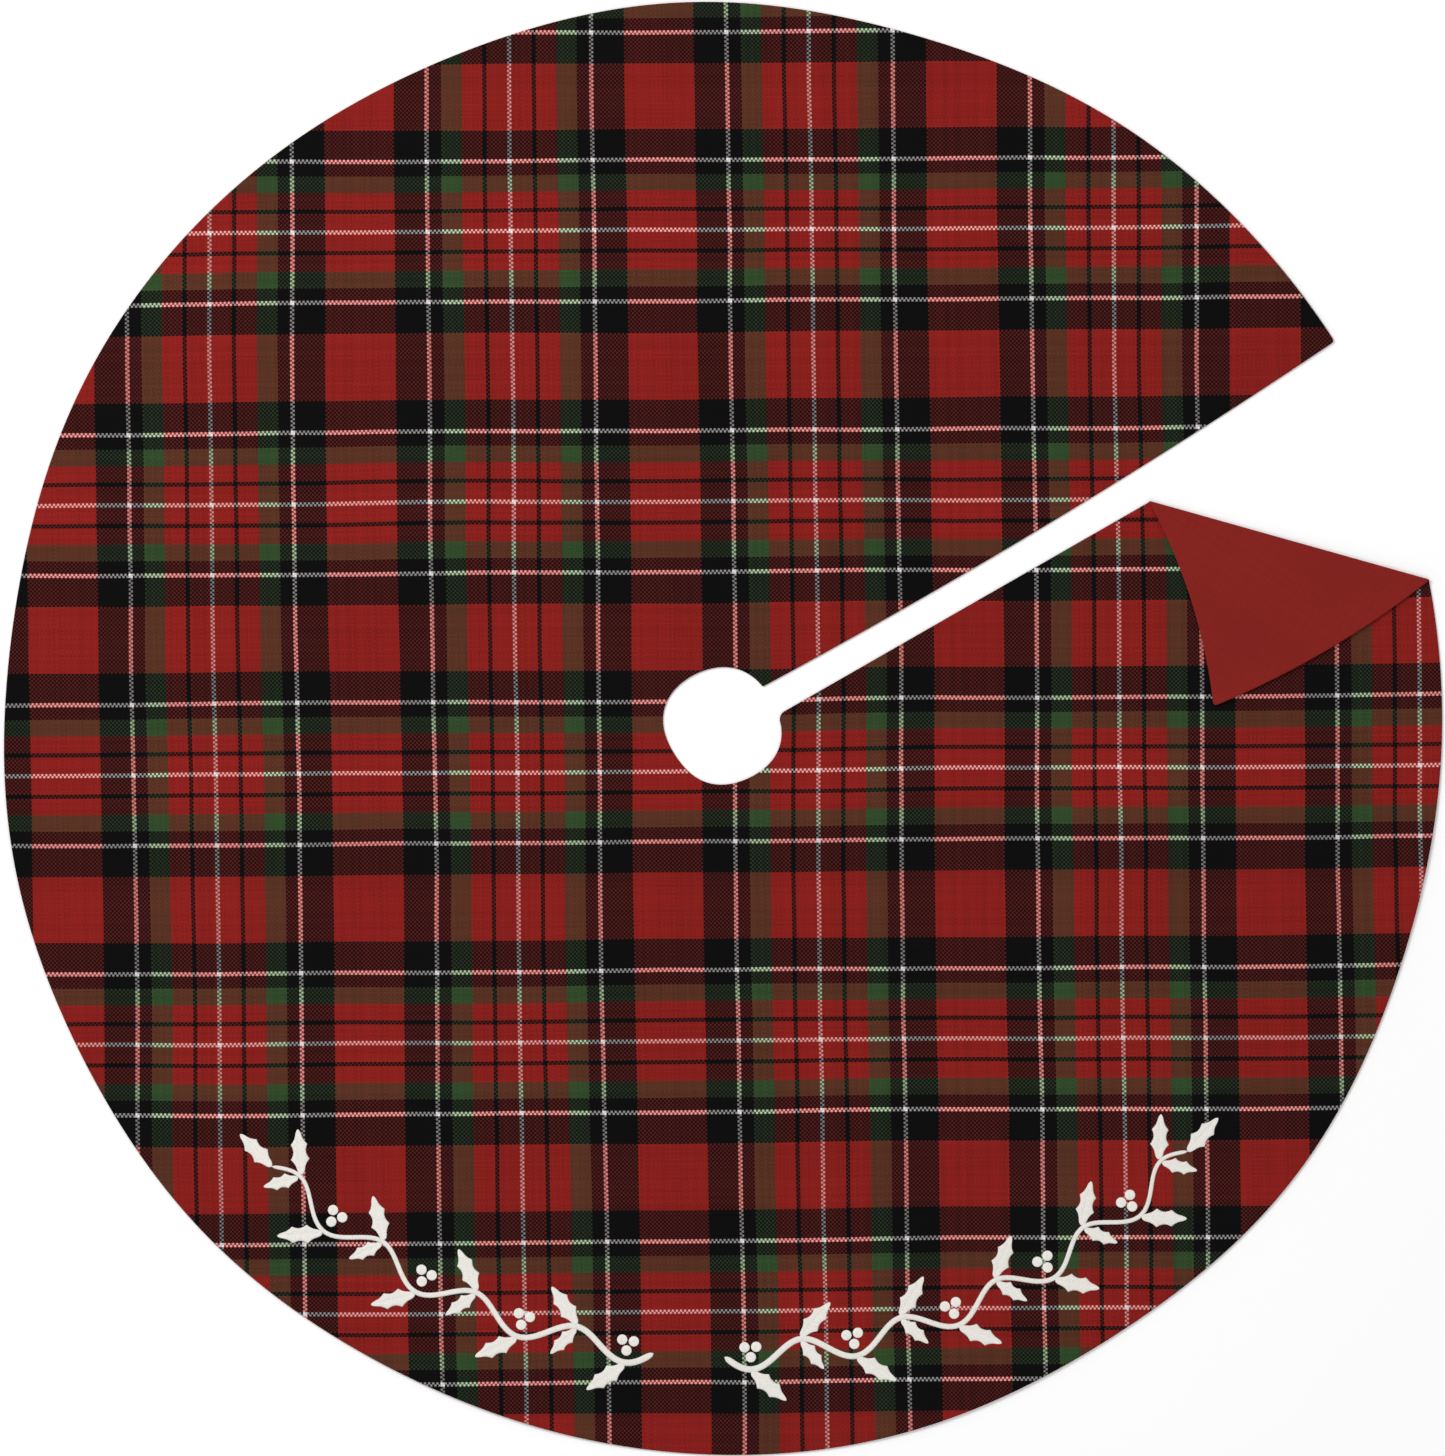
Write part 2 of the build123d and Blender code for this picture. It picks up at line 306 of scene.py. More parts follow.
def pucker(points, depth):
    """Fine uneven dimples along the sewn edges."""
    x, y = points.T
    wobble = np.sin(x / 4.1 + 2 * np.sin(y / 31)) * np.sin(y / 4.7 + 2 * np.sin(x / 27))
    return PUCKER_HEIGHT * wobble * np.exp(-((depth - 7) / 6) ** 2)


def laid(points, height, corner):
    """Where spots of the flat cloth, at their heights in it, come to lie."""
    if not corner:
        return np.column_stack((points, height + waves(points)))
    beyond = past_crease(points)
    bend = np.clip(beyond / BEND_RADIUS, 0, pi)
    lying = np.maximum(beyond - BEND_LENGTH, 0)
    radius = BEND_RADIUS - (height - CLOTH_MIDDLE)
    across = radius * np.sin(bend) - BEND_SETBACK - lying
    along = (points - crease_start) @ crease_line
    lift = 0.004 * lying + 0.22 * np.sin(along / 40) ** 2 * smooth(lying, 5, 60)
    flat = crease_start + along[:, None] * crease_line + across[:, None] * crease_outward
    return np.column_stack((flat, CREASE_HEIGHT - radius * np.cos(bend) + lift))


def knife_edge(depth, seam, full, roll=1.3):
    """A bagged-out edge: from the seam's height at the very edge to the full height."""
    t = np.clip(depth / roll, 0, 1)
    return seam + (full - seam) * np.sqrt(1 - (1 - t) ** 2)


def allowance_ridge(depth):
    """The turned-in edges show faintly through the cloth, where they end."""
    return RIDGE_HEIGHT * (1 - smooth(depth, SEAM_ALLOWANCE - 2.5, SEAM_ALLOWANCE + 1.5))


def hem_layer(depth, hem, panel):
    """The height of a layer's inner side: it steps where the turned-in allowance ends."""
    return hem + (panel - hem) * smooth(depth, SEAM_ALLOWANCE - 0.6, SEAM_ALLOWANCE + 0.4)


FACE_HEIGHT = CLOTH_TOP - RIDGE_HEIGHT
EDGE_HALF, LAYER_GAP = 0.12, 0.03  # half a cloth's thickness at the seam, and the gap between layers


def face_top(points, depth):
    full = FACE_HEIGHT + allowance_ridge(depth) + pucker(points, depth) * smooth(depth, 1, 4)
    return knife_edge(depth, SEAM_HEIGHT + EDGE_HALF, full)


def face_bottom(points, depth):
    return hem_layer(depth, SEAM_HEIGHT + LAYER_GAP, INTERLINING_TOP)


def lining_top(points, depth):
    return hem_layer(depth, SEAM_HEIGHT - LAYER_GAP, LINING_TOP)


LABEL_LENGTH, LABEL_WIDTH, LABEL_THICKNESS = 56.0, 32.0, 0.2
HOLLOW_EDGE = 0.4, 3.0  # the lining rises over the label between these distances from it
LABEL_X, LABEL_TO_THREAD = 300.0, 1
label_edge = slit_edge(LABEL_X, SLIT_LEFT_ENDS, SLIT_LEFT_BOW) + THREAD_INSET + LABEL_TO_THREAD
LABEL_MIDDLE = np.array((LABEL_X, label_edge + LABEL_WIDTH / 2))


def from_label(points):
    """How far points lie outside the label's outline."""
    return (np.abs(points - LABEL_MIDDLE) - (LABEL_LENGTH / 2, LABEL_WIDTH / 2)).max(1)


def lining_bottom(points, depth):
    """The underside, which makes room for the label."""
    hollow = (LABEL_THICKNESS + LAYER_GAP) * (1 - smooth(from_label(points), *HOLLOW_EDGE))
    return np.maximum(knife_edge(depth, SEAM_HEIGHT - EDGE_HALF, 0.0), hollow)


def interlining_top(points, depth):
    return np.full(len(points), INTERLINING_TOP - LAYER_GAP)


def interlining_bottom(points, depth):
    return np.full(len(points), LINING_TOP + LAYER_GAP)


def grain(points):
    """Places along the cloth's own threads, which run across and up the view from above, in metres."""
    return np.column_stack((points @ RIGHT, points @ UP)) * MM


def new_piece(name, points, faces):
    mesh = bpy.data.meshes.new(name)
    mesh.from_pydata((points * MM).tolist(), [], faces)
    piece = bpy.data.objects.new(name, mesh)
    bpy.context.scene.collection.objects.link(piece)
    mesh.shade_smooth()
    return piece


def add_uv(piece, name, coordinates):
    """One UV pair for each vertex of a piece, on all its faces."""
    layer = piece.data.uv_layers.new(name=name)
    corners = np.empty(len(piece.data.loops), int)
    piece.data.loops.foreach_get("vertex_index", corners)
    layer.data.foreach_set("uv", coordinates[corners].astype(np.float32).ravel())


def panel(name, flat, corner, top, bottom):
    """A closed sheet of cloth, skirt or corner, from the flat layout."""
    points, triangles = flat
    middle = points[triangles].mean(1)
    triangles = triangles[is_corner(middle) == corner]
    used, triangles = np.unique(triangles, return_inverse=True)
    triangles = triangles.reshape(-1, 3)
    points = points[used]
    depth = from_edge(points)
    count = len(points)
    sides = np.concatenate([triangles[:, (k, (k + 1) % 3)] for k in range(3)])
    keys = {tuple(side) for side in sides.tolist()}
    border = [(a, b) for a, b in keys if (b, a) not in keys]
    faces = triangles.tolist() + (triangles[:, ::-1] + count).tolist()
    faces += [(b, a, a + count, b + count) for a, b in border]
    shape = np.concatenate(
        (laid(points, top(points, depth), corner), laid(points, bottom(points, depth), corner))
    )
    piece = new_piece(name, shape, faces)
    add_uv(piece, "grain", np.tile(grain(points), (2, 1)))
    spans = (points[triangles[:, k]] - points[triangles[:, 0]] for k in (1, 2))
    flat_area = np.abs(np.cross(*spans)).sum() / 2
    return piece, flat_area * MM**2


# Distances from the edge that get a ring of points
EDGE_RINGS = [0, 0.15, 0.45, 0.85, 1.3, 2.5, 5, 8, 9.4, 10.4, 13, 18]
label_box = np.array(((-1, -1), (1, -1), (1, 1), (-1, 1))) * (LABEL_LENGTH / 2, LABEL_WIDTH / 2)


def label_loop(margin):
    """Points round the label, from one end of its side by the slit."""
    corners = LABEL_MIDDLE + label_box + np.sign(label_box) * margin
    return np.concatenate([straight(corners[k], corners[(k + 1) % 4], 4.0)[:-1] for k in range(4)])


GRID = 9.0
cloth_flat = lay_out(EDGE_RINGS, GRID)
lining_flat = lay_out(EDGE_RINGS, GRID, [label_loop(margin) for margin in (0.4, 1.2, 2.0, 3.0)])
interlining_flat = lay_out([SEAM_ALLOWANCE + HEM_CLEARANCE, 14], 20.0)

# Each layer's flat layout, and the heights of its top and its bottom
PANELS = {
    "face": (cloth_flat, face_top, face_bottom),
    "lining": (lining_flat, lining_top, lining_bottom),
    "interlining": (interlining_flat, interlining_top, interlining_bottom),
}
cloths, areas = {}, {}
for layer, (flat, top, bottom) in PANELS.items():
    for part, corner in (("skirt", False), ("corner", True)):
        cloths[part, layer], areas[part, layer] = panel(f"{part}_{layer}_cloth", flat, corner, top, bottom)


# --- Embroidery ---------------------------------------------------------------------------------
GARLAND_RADIUS = 530.0
GARLAND_RUNS = {"left": (-127.0, -166.5), "right": (-120.5, -73.0)}
HALF_WAVE, SWING = 46.0, 11.0
OUTER_LEAF, INNER_LEAF = (38.0, 17.0, 42.0), (30.0, 14.0, 58.0)  # length, width, lean
LEAF_ROOT = 2.0
BERRY_RADIUS, BERRY_SPREAD, BERRY_OFFSET = 4.4, 5.7, 16.0
BERRY_HEIGHT, BERRY_DEPTH = 0.95, 0.3
STEM_WIDE, STEM_FINE = 5.6, 3.4


RIM_STAND, BACKING = 0.12, 0.35  # how high a motif's rim stands, and how thick its flat back is
LEAF_RELIEF, STEM_RELIEF = 0.62, 0.7


def on_face(points):
    """The height of the laid face, where embroidery stands on it."""
    return FACE_HEIGHT + waves(points)


def deselect():
    bpy.ops.object.select_all(action="DESELECT")


def spots_of(mesh):
    spots = np.empty(len(mesh.vertices) * 3)
    mesh.vertices.foreach_get("co", spots)
    return spots.reshape(-1, 3)


def reshape(piece, points, map_name, coordinates):
    """Moves a primitive's vertices, and gives it one map. Both are in millimetres."""
    piece.data.vertices.foreach_set("co", (points * MM).ravel())
    while piece.data.uv_layers:
        piece.data.uv_layers.remove(piece.data.uv_layers[0])
    add_uv(piece, map_name, coordinates * MM)
    piece.data.shade_smooth()


def back(piece, thickness):
    """Thickens a patch away from the side that it faces."""
    backing = piece.modifiers.new("backing", "SOLIDIFY")
    backing.thickness, backing.offset = thickness * MM, -1
    bpy.context.view_layer.objects.active = piece
    bpy.ops.object.modifier_apply(modifier=backing.name)


def patch(columns, rows):
    """A flat grid to be shaped, with each vertex's place along it, 0 to 1, and across it, -1 to 1."""
    deselect()
    bpy.ops.mesh.primitive_grid_add(x_subdivisions=columns, y_subdivisions=rows, size=1)
    piece = bpy.context.object
    spots = spots_of(piece.data)
    return piece, spots[:, 0] + 0.5, spots[:, 1] * 2


def leaf_template(length, width):
    """A holly leaf: a pointed oval with three hollows a side, padded each side of its vein."""
    piece, t, c = patch(44, 13)
    half = width / 2 * np.sin(pi * np.clip(t, 0.004, 0.996) ** 0.85) ** 0.7
    half *= 1 - 0.36 * np.abs(np.sin(3 * pi * t)) ** 0.8
    side = np.abs(c)
    rise = np.sqrt(np.clip(1 - (2 * side - 1) ** 2, 0, 1)) * np.minimum(1, half / 3)
    vein = smooth(t, 0.06, 0.14) * (1 - smooth(t, 0.82, 0.92))
    rise = np.where(side < 0.5, rise * vein + (1 - vein) * np.minimum(1, half / 3), rise)
    y = c * half
    x = t * length - 0.12 * width * (1 - side) * np.sin(pi * t)
    stitch = np.column_stack((x - np.abs(y) * 0.8, np.abs(y) + 40 * (c > 0)))
    reshape(piece, np.column_stack((x, y, RIM_STAND + LEAF_RELIEF * rise)), "stitch", stitch)
    back(piece, BACKING)
    return piece


def berry_template():
    """A round padded dot."""
    deselect()
    bpy.ops.mesh.primitive_uv_sphere_add(segments=24, ring_count=14, radius=1)
    piece = bpy.context.object
    x, y, z = spots_of(piece.data).T
    height = np.where(z > 0, BERRY_HEIGHT, BERRY_DEPTH) * np.sign(z) * np.abs(z) ** 0.8
    points = np.column_stack((x * BERRY_RADIUS, y * BERRY_RADIUS, height))
    reshape(piece, points, "stitch", points[:, :2])
    return piece


def planted(template, root, heading):
    """A copy of a template with its own mesh, turned to its heading and laid on the face."""
    mesh = template.data.copy()
    copy = bpy.data.objects.new(template.name, mesh)
    bpy.context.scene.collection.objects.link(copy)
    spots = spots_of(mesh) / MM
    turn = radians(heading)
    flat = root + spots[:, :2] @ np.array(((cos(turn), sin(turn)), (-sin(turn), cos(turn))))
    points = np.column_stack((flat, spots[:, 2] + on_face(flat)))
    mesh.vertices.foreach_set("co", (points * MM).ravel())
    mesh.update()
    return copy


def joined(pieces, name):
    deselect()
    for piece in pieces:
        piece.select_set(True)
    bpy.context.view_layer.objects.active = pieces[0]
    bpy.ops.object.join()
    pieces[0].name = pieces[0].data.name = name
    return pieces[0]


def crests(run):
    """A stem's turning points: the step between them, and each one's angle and side."""
    count = round(radians(abs(run[1] - run[0])) * GARLAND_RADIUS / HALF_WAVE)
    step = (run[1] - run[0]) / count
    return step, [(run[0] + (k + 0.5) * step, 1 if k % 2 == 0 else -1) for k in range(count)]


def stem(run, name):
    """A waving stem that thins towards its end."""
    step, points = crests(run)
    piece, t, c = patch(len(points) * 24, 7)

    def middle(share):
        angle = run[0] + share * (run[1] - run[0])
        return on_circle(GARLAND_RADIUS + SWING * np.sin(pi * share * len(points)), angle)

    ends = np.sqrt(np.clip(1 - (1 - np.minimum(t, 1 - t) * len(points) * 8).clip(0) ** 2, 0.02, 1))
    way = middle(t + 1e-4) - middle(t - 1e-4)
    way /= np.linalg.norm(way, axis=1)[:, None]
    width = (STEM_WIDE + (STEM_FINE - STEM_WIDE) * t) / 2 * ends
    flat = middle(t) + np.column_stack((-way[:, 1], way[:, 0])) * (c * width)[:, None]
    length = t * len(points) * HALF_WAVE * 1.2
    rise = np.sqrt(np.clip(1 - c**2, 0, 1)) * ends
    places = np.column_stack((flat, on_face(flat) + RIM_STAND + STEM_RELIEF * rise))
    reshape(piece, places, "stitch", np.column_stack((length + c * width * 0.9, c * width)))
    back(piece, BACKING)
    piece.name = piece.data.name = name
    return piece


leaf_outer, leaf_inner = leaf_template(*OUTER_LEAF[:2]), leaf_template(*INNER_LEAF[:2])
berry = berry_template()
stitched = {}
for side, run in GARLAND_RUNS.items():
    way = 1 if run[1] > run[0] else -1
    step, points = crests(run)
    leaves, dots = [], []
    for angle, swing in points:
        grown = [(swing, leaf_outer, OUTER_LEAF)]
        if swing < 0:
            grown.append((-swing, leaf_inner, INNER_LEAF))
        for towards, template, (_, _, lean) in grown:
            root = on_circle(GARLAND_RADIUS + swing * SWING + towards * LEAF_ROOT, angle)
            leaves.append(planted(template, root, angle + way * (90 - towards * lean)))
        if swing > 0:
            middle = on_circle(GARLAND_RADIUS + SWING - BERRY_OFFSET, angle)
            for turn in (0, 120, 240):
                dots.append(planted(berry, middle + on_circle(BERRY_SPREAD, angle + turn), angle + turn / 2))
    leaves.append(planted(leaf_outer, on_circle(GARLAND_RADIUS, run[1]), run[1] + way * 90))
    stitched[side, "stem"] = stem(run, f"{side}_stitched_stem")
    stitched[side, "leaves"] = joined(leaves, f"{side}_stitched_leaves")
    stitched[side, "berries"] = joined(dots, f"{side}_stitched_berries")
for template in (leaf_outer, leaf_inner, berry):
    bpy.data.objects.remove(template)


# --- Seam threads and care label ----------------------------------------------------------------
def seam_thread(name, run, corner, room_before, room_after):
    """A round thread along a run of the edge, inside the seam."""
    path = run + inward(run, closed=False) * THREAD_INSET
    path = path[np.linalg.norm(path - run[0], axis=1) > room_before]
    path = path[np.linalg.norm(path - run[-1], axis=1) > room_after]
    places = laid(path, np.full(len(path), SEAM_HEIGHT), corner) * MM
    curve = bpy.data.curves.new(name, "CURVE")
    curve.dimensions = "3D"
    curve.bevel_depth, curve.bevel_resolution, curve.use_fill_caps = THREAD_DIAMETER / 2 * MM, 1, True
    spline = curve.splines.new("POLY")
    spline.points.add(len(places) - 1)
    for point, place in zip(spline.points, places):
        point.co = (*place, 1)
    piece = bpy.data.objects.new(name, curve)
    bpy.context.scene.collection.objects.link(piece)
    deselect()
    piece.select_set(True)
    bpy.context.view_layer.objects.active = piece
    bpy.ops.object.convert(target="MESH")
    piece = bpy.context.object
    piece.data.shade_smooth()
    return piece


runs = edge_runs()
BY_CREASE = 3.0
threads = {
    "rim_seam_thread": seam_thread("thread_round_rim", runs[RIM], False, 5, BY_CREASE),
    "trunk_hole_seam_thread": seam_thread("thread_round_trunk_hole", runs[HOLE], False, 9, 4),
    "slit_left_seam_thread": seam_thread("thread_along_slit_left", runs[LEFT_SLIT], False, 4, 5),
    "slit_right_seam_thread": seam_thread("thread_along_slit_right", runs[RIGHT_SLIT], False, BY_CREASE, 9),
    "corner_slit_seam_thread": seam_thread("thread_along_corner_slit", runs[CORNER_SLIT], True, 8, BY_CREASE),
    "corner_rim_seam_thread": seam_thread("thread_along_corner_rim", runs[CORNER_RIM], True, BY_CREASE, 8),
}

# The tape hangs a little below the lining, and lower at its turned-in ends
TAPE_HANG, TURNED_END, TAPE_THICKNESS = 0.12, 0.07, 0.1
label, t, c = patch(57, 33)
flat = LABEL_MIDDLE + np.column_stack((t - 0.5, c / 2)) * (LABEL_LENGTH, LABEL_WIDTH)
turned_end = smooth(np.abs(t - 0.5) * LABEL_LENGTH, LABEL_LENGTH / 2 - 4.5, LABEL_LENGTH / 2 - 4.0)
hang = TAPE_HANG + TURNED_END * turned_end
label_points = np.column_stack((flat, LABEL_THICKNESS - hang + waves(flat)))
reshape(label, label_points, "grain", np.column_stack(((t - 0.5) * LABEL_LENGTH, c / 2 * LABEL_WIDTH)))
label.data.flip_normals()
back(label, TAPE_THICKNESS)
label.name = label.data.name = "blank_label_tape"


# --- Cloth and thread materials -----------------------------------------------------------------
def linear(colour):
    """A colour given in screen values from 0 to 255."""
    share = [v / 255 for v in colour]
    return (*(v / 12.92 if v <= 0.04045 else ((v + 0.055) / 1.055) ** 2.4 for v in share), 1)


class Recipe:
    """A material put together node by node."""

    def __init__(self, name):
        self.material = bpy.data.materials.new(name)
        self.material.use_nodes = True
        self.nodes, self.links = self.material.node_tree.nodes, self.material.node_tree.links
        self.shader = self.nodes["Principled BSDF"]

    def put(self, socket, value):
        if isinstance(value, bpy.types.NodeSocket):
            self.links.new(value, socket)
        else:
            socket.default_value = value

    def add(self, kind, inputs=(), output=0, **settings):
        node = self.nodes.new(kind)
        for key, value in settings.items():
            setattr(node, key, value)
        for key, value in dict(inputs).items():
            self.put(node.inputs[key], value)
        return node.outputs[output]

    def calc(self, operation, *values):
        return self.add("ShaderNodeMath", dict(enumerate(values)), operation=operation)

    def vector(self, operation, *values, output=0):
        return self.add("ShaderNodeVectorMath", dict(enumerate(values)), output, operation=operation)

    def mix(self, share, a, b):
        return self.add("ShaderNodeMix", {0: share, 2: a, 3: b})

    def mix_colour(self, share, a, b, how="MIX", **settings):
        inputs = {0: share, 6: a, 7: b}
        return self.add("ShaderNodeMix", inputs, 2, data_type="RGBA", blend_type=how, **settings)

    def uv(self, name):
        return self.add("ShaderNodeUVMap", uv_map=name)

    def noise(self, at, scale, detail=2.0, output=0):
        return self.add("ShaderNodeTexNoise", {"Vector": at, "Scale": scale, "Detail": detail}, output)

    def scaled(self, value, low, high):
        """A value from 0 to 1, brought to low to high."""
        return self.add("ShaderNodeMapRange", {0: value, 3: low, 4: high})

    def bands(self, index, bands):
        """Colours of the yarns in a repeat: index counts yarns, bands are (colour, how many)."""
        total = sum(count for _, count in bands)
        share = self.calc("DIVIDE", self.calc("FLOORED_MODULO", self.calc("ADD", index, 0.8), total), total)
        ramp = self.nodes.new("ShaderNodeValToRGB")
        ramp.color_ramp.interpolation = "CONSTANT"
        stops, place = ramp.color_ramp.elements, 0
        while len(stops) > 1:
            stops.remove(stops[0])
        for k, (colour, count) in enumerate(bands):
            stop = stops[0] if k == 0 else stops.new(place / total)
            stop.position, stop.color = place / total, colour
            place += count
        self.links.new(share, ramp.inputs[0])
        return ramp.outputs[0]

    def finish(self, colour, height, depth, strength, **values):
        self.put(self.shader.inputs["Base Color"], colour)
        bump = {"Height": height, "Distance": depth * MM, "Strength": strength}
        self.links.new(self.add("ShaderNodeBump", bump), self.shader.inputs["Normal"])
        for key, value in values.items():
            self.shader.inputs[key.replace("_", " ")].default_value = value
        return self.material


THROUGH = 0.68  # how much of a yarn's brightness comes from the yarn beneath it
FULLY_LIT = 9  # a yarn whose colour is over 1 / 9 doesn't dim the yarn on top


def woven(
    name, pitch, warp, weft, phase=(0, 0), lean=(0, 0), wander=0.0, uneven=0.3, strength=0.4, **values
):
    """Plain weave: warp and weft yarns pass over each other by turns. Each is bands or one colour."""
    r = Recipe(name)
    place = r.uv("grain")
    if wander:
        drift = r.vector("SUBTRACT", r.noise(place, 2.6, 3.0, 1), (0.5, 0.5, 0.5))
        place = r.vector("ADD", place, r.vector("MULTIPLY", drift, (wander * MM,) * 3))
    along = [
        (1 / (pitch[0] * MM), tan(lean[0]) / (pitch[0] * MM), 0),
        (-tan(lean[1]) / (pitch[1] * MM), 1 / (pitch[1] * MM), 0),
    ]
    x, y = (
        r.calc("ADD", r.vector("DOT_PRODUCT", place, way, output=1), start)
        for way, start in zip(along, phase)
    )
    column, row = r.calc("FLOOR", x), r.calc("FLOOR", y)
    warp_over = r.calc("FLOORED_MODULO", r.calc("ADD", column, row), 2)
    across = r.mix(warp_over, r.calc("FRACT", y), r.calc("FRACT", x))
    lengthwise = r.mix(warp_over, r.calc("FRACT", x), r.calc("FRACT", y))
    number = r.mix(warp_over, r.calc("ADD", row, 917.0), column)
    distance = r.mix(warp_over, x, y)
    crown = r.calc("POWER", r.calc("SINE", r.calc("MULTIPLY", across, pi)), 0.6)
    arch = r.scaled(r.calc("SINE", r.calc("MULTIPLY", lengthwise, pi)), 0.5, 1.0)
    height = r.calc("MULTIPLY", crown, arch)
    dye = r.add("ShaderNodeTexWhiteNoise", {"W": number}, noise_dimensions="1D")
    slub_at = r.add("ShaderNodeCombineXYZ", {0: r.calc("MULTIPLY", number, 3.7), 1: distance})
    slub = r.noise(r.vector("MULTIPLY", slub_at, (1, 0.045, 1)), 1.0, 2.0)
    cloudy = r.noise(place, 9.0, 3.0)
    tone = r.calc("ADD", r.calc("ADD", dye, slub), cloudy)
    tone = r.calc("MULTIPLY_ADD", r.calc("SUBTRACT", tone, 1.5), uneven, 1.0)
    # Each yarn is made darker towards its sides and where it dips under the crossing yarns: painted shade
    # between yarns, on top of its random dye tone
    tone_and_painted_shade = r.calc("MULTIPLY", tone, r.scaled(height, 0.8, 1.09))
    both = [
        yarns if isinstance(yarns, tuple) else r.bands(index, yarns)
        for yarns, index in ((weft, row), (warp, column))
    ]
    colour = r.mix_colour(warp_over, *both)
    if not isinstance(warp, tuple):  # the yarn beneath shows through the one on top, or dulls it
        beneath = r.mix_colour(warp_over, *both[::-1])
        bright = r.mix_colour(1.0, beneath, (FULLY_LIT,) * 3 + (1,), "MULTIPLY", clamp_result=True)
        lit = r.mix_colour(THROUGH, (1, 1, 1, 1), bright)
        colour = r.mix_colour(1.0, colour, lit, "MULTIPLY")
    # The painted shade and the random tone darken the yarn colours as one grey
    tone_and_shade_grey = r.add("ShaderNodeCombineXYZ", {0: tone_and_painted_shade, 1: tone_and_painted_shade, 2: tone_and_painted_shade})
    colour = r.mix_colour(1.0, colour, tone_and_shade_grey, "MULTIPLY")
    fuzz = r.calc("MULTIPLY", r.noise(place, 2600.0, 2.0), 0.35)
    return r.finish(colour, r.calc("ADD", height, fuzz), pitch[0] * 0.2, strength, **values)


RED, BLACK, GREEN = linear((129, 42, 38)), linear((15, 14, 15)), linear((59, 77, 52))
WARP_WHITE, WEFT_WHITE = linear((192, 186, 185)), linear((218, 212, 211))


def sett(ground, broad, narrow, white):
    """A tartan's repeat, in yarns: broad red ground, black and green guards, a red field with fine lines."""
    guard = [(BLACK, broad[0]), (white, 2), (BLACK, 6), (GREEN, broad[1])]
    field = [(RED, narrow), (BLACK, 2), (RED, narrow)]
    return [(RED, ground), *guard, *field, (white, 2), *field, *guard[::-1]]


WARP_PITCH, WEFT_PITCH = 1.74, 1.75
COTTON = dict(Roughness=0.85, Specular_IOR_Level=0.08, Sheen_Weight=0.02, Sheen_Roughness=0.4)
tartan = woven(
    "woven_tartan_cotton",
    (WARP_PITCH, WEFT_PITCH),
    sett(34, (15, 10), 10, WARP_WHITE),
    sett(32, (14, 8), 8, WEFT_WHITE),
    phase=(90 - 80.6 / WARP_PITCH, 81 + 35.9 / WEFT_PITCH),
    lean=(radians(0.7), radians(0.4)),
    wander=9.0,
    uneven=0.26,
    strength=0.28,
    **COTTON,
)
LINING_RED = linear((128, 32, 27))
red_lining = woven(
    "plain_woven_red_lining",
    (0.42, 0.45),
    LINING_RED,
    LINING_RED,
    wander=3.0,
    uneven=0.16,
    strength=0.3,
    **COTTON,
)
label_white = woven(
    "white_label_tape",
    (0.2, 0.3),
    linear((238, 236, 230)),
    linear((226, 224, 220)),
    uneven=0.1,
    strength=0.3,
    Roughness=0.5,
    Specular_IOR_Level=0.4,
)


STITCH_PITCH = 0.42


def stitched_thread():
    """Satin stitch: fine bright threads side by side across the motif."""
    r = Recipe("off_white_embroidery_thread")
    along = r.add("ShaderNodeSeparateXYZ", {0: r.uv("stitch")})
    index = r.calc("MULTIPLY", along, 1 / (STITCH_PITCH * MM))
    crown = r.calc("SINE", r.calc("MULTIPLY", r.calc("FRACT", index), pi))
    dye = r.add("ShaderNodeTexWhiteNoise", {"W": r.calc("FLOOR", index)}, noise_dimensions="1D")
    # Each thread is darker at its sides, where it meets the next: painted shade between threads, on a random
    # tone per thread
    tone_and_painted_shade = r.calc("MULTIPLY", r.scaled(dye, 0.95, 1.05), r.scaled(crown, 0.78, 1.06))
    tone_and_shade_grey = r.add("ShaderNodeCombineXYZ", {0: tone_and_painted_shade, 1: tone_and_painted_shade, 2: tone_and_painted_shade})
    colour = r.mix_colour(1.0, linear((241, 238, 231)), tone_and_shade_grey, "MULTIPLY")
    return r.finish(colour, crown, 0.16, 0.7, Roughness=0.42, Specular_IOR_Level=0.35, Sheen_Weight=0.1)


def twisted_thread():
    r = Recipe("red_sewing_thread")
    place = r.add("ShaderNodeTexCoord", output=3)
    twist = r.add("ShaderNodeTexWave", {"Vector": place, "Scale": 900.0}, 1, bands_direction="DIAGONAL")
    # The thread is darker red in the grooves of its twist, following the same wave as its bump: painted shade
    colour = r.mix_colour(twist, linear((92, 22, 20)), linear((150, 40, 36)))
    return r.finish(colour, twist, 0.08, 0.6, Roughness=0.6, Specular_IOR_Level=0.3)


def needled_felt():
    r = Recipe("thin_needled_interlining")
    fibres = r.noise(r.vector("MULTIPLY", r.uv("grain"), (900, 300, 1)), 1.0, 6.0)
    colour = r.mix_colour(fibres, linear((196, 192, 184)), linear((236, 234, 228)))
    return r.finish(colour, fibres, 0.2, 0.6, Roughness=0.95, Specular_IOR_Level=0.1)


embroidery, sewing, interlining = stitched_thread(), twisted_thread(), needled_felt()


def dress(piece, material, slot):
    piece.data.materials.clear()
    piece.data.materials.append(material)


FINISHES = {
    "face": (tartan, "tartan_cotton"),
    "lining": (red_lining, "red_lining"),
    "interlining": (interlining, "interlining"),
}
for (part, layer), piece in cloths.items():
    dress(piece, *FINISHES[layer])
for piece in stitched.values():
    dress(piece, embroidery, "embroidery_thread")
for piece in threads.values():
    dress(piece, sewing, "sewing_thread")
dress(label, label_white, "label_tape")

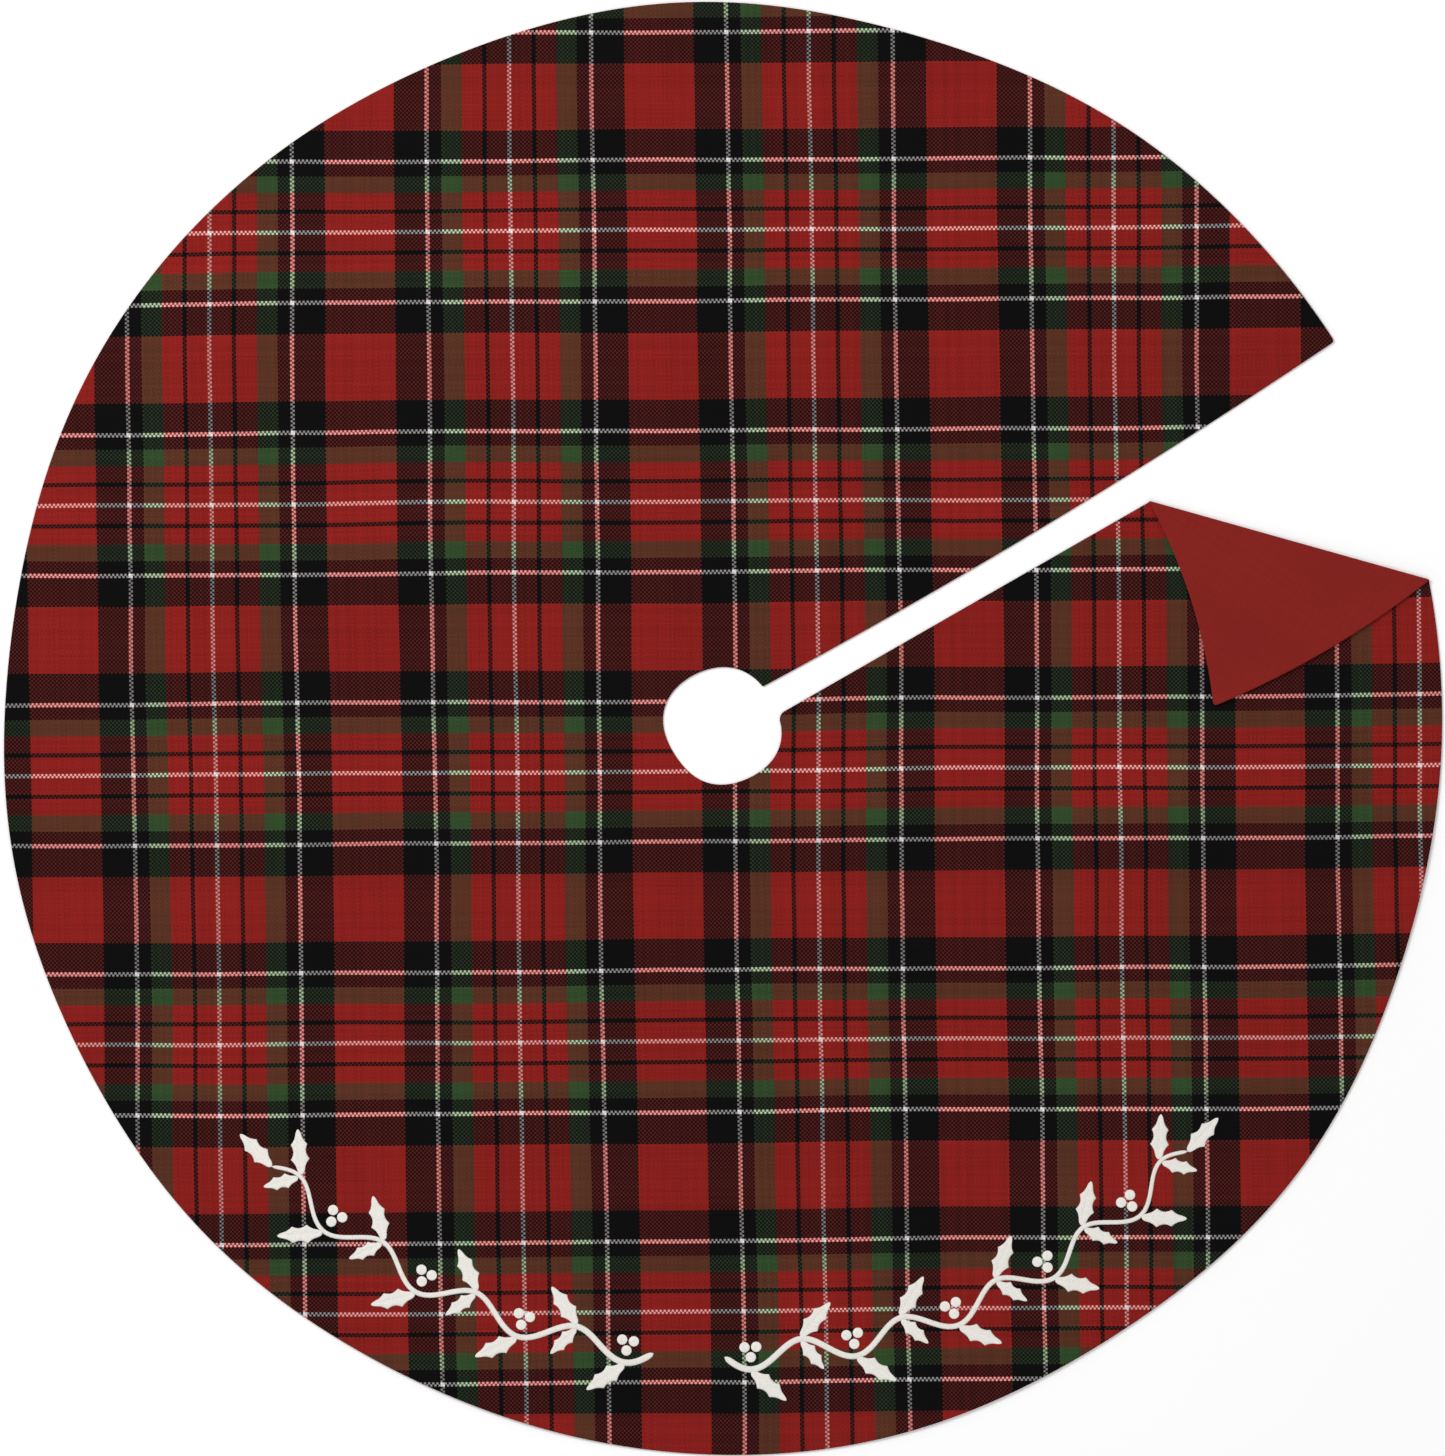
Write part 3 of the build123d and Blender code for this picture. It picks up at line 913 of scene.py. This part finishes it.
# --- What each piece stands for, and what it moves with -----------------------------------------
for node, piece in threads.items():
    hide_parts(node)
    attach(piece, "corner" if node.startswith("corner") else "skirt")
for (side, kind), piece in stitched.items():
    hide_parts(f"garland_{side}_{kind}")
    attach(piece, "skirt")
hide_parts("care_label")
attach(label, "skirt")
CAD_NODES = {
    ("skirt", "face"): "face_panel",
    ("skirt", "lining"): "lining_panel",
    ("skirt", "interlining"): "interlining",
    ("corner", "face"): "corner_face",
    ("corner", "lining"): "corner_lining",
    ("corner", "interlining"): "corner_interlining",
}
for (part, layer), piece in cloths.items():
    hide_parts(CAD_NODES[part, layer])
    if part == "skirt":
        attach(piece, "skirt")
    else:
        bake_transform(piece)

# --- Floor, light and camera --------------------------------------------------------------------
deselect()
FLOOR_SIZE, FLOOR_GAP = 12, 0.2 * MM
bpy.ops.mesh.primitive_plane_add(size=FLOOR_SIZE, location=(0, 0, -FLOOR_GAP))
floor = bpy.context.object
floor.name = "floor"
backdrop = Recipe("pale_studio_floor")
backdrop.put(backdrop.shader.inputs["Base Color"], (0.96, 0.96, 0.96, 1))
backdrop.shader.inputs["Roughness"].default_value = 0.9
backdrop.shader.inputs["Specular IOR Level"].default_value = 0.1
floor.data.materials.append(backdrop.material)


def soft_light(name, right, up, height, size, power):
    """A large lamp that looks at the skirt's middle, placed to the right and up in the view from above."""
    lamp = bpy.data.lights.new(name, "AREA")
    lamp.shape, lamp.size, lamp.energy = "DISK", size, power
    holder = bpy.data.objects.new(name, lamp)
    holder.location = (*(right * RIGHT + up * UP), height)
    holder.rotation_euler = (-holder.location).to_track_quat("-Z", "Y").to_euler()
    bpy.context.scene.collection.objects.link(holder)


soft_light("large_softbox", -1.6, 1.5, 2.6, 1.6, 62)
soft_light("fill_light", 1.4, -1.8, 2.8, 2.5, 18)
world = bpy.data.worlds.new("studio")
bpy.context.scene.world = world
world.use_nodes = True
world.node_tree.nodes["Background"].inputs[0].default_value = (1, 1, 1, 1)
world.node_tree.nodes["Background"].inputs[1].default_value = 0.62
bpy.context.scene.view_settings.view_transform = "Standard"

VIEW_HEIGHT, CAMERA_HEIGHT = 1.2268, 3
camera = bpy.data.cameras.new("overhead_camera")
camera.type = "ORTHO"
camera.ortho_scale = VIEW_HEIGHT
camera_holder = bpy.data.objects.new("overhead_camera", camera)
camera_holder.location = (0, 0, CAMERA_HEIGHT)
camera_holder.rotation_euler = (0, 0, -TURN)
bpy.context.scene.collection.objects.link(camera_holder)
bpy.context.scene.camera = camera_holder
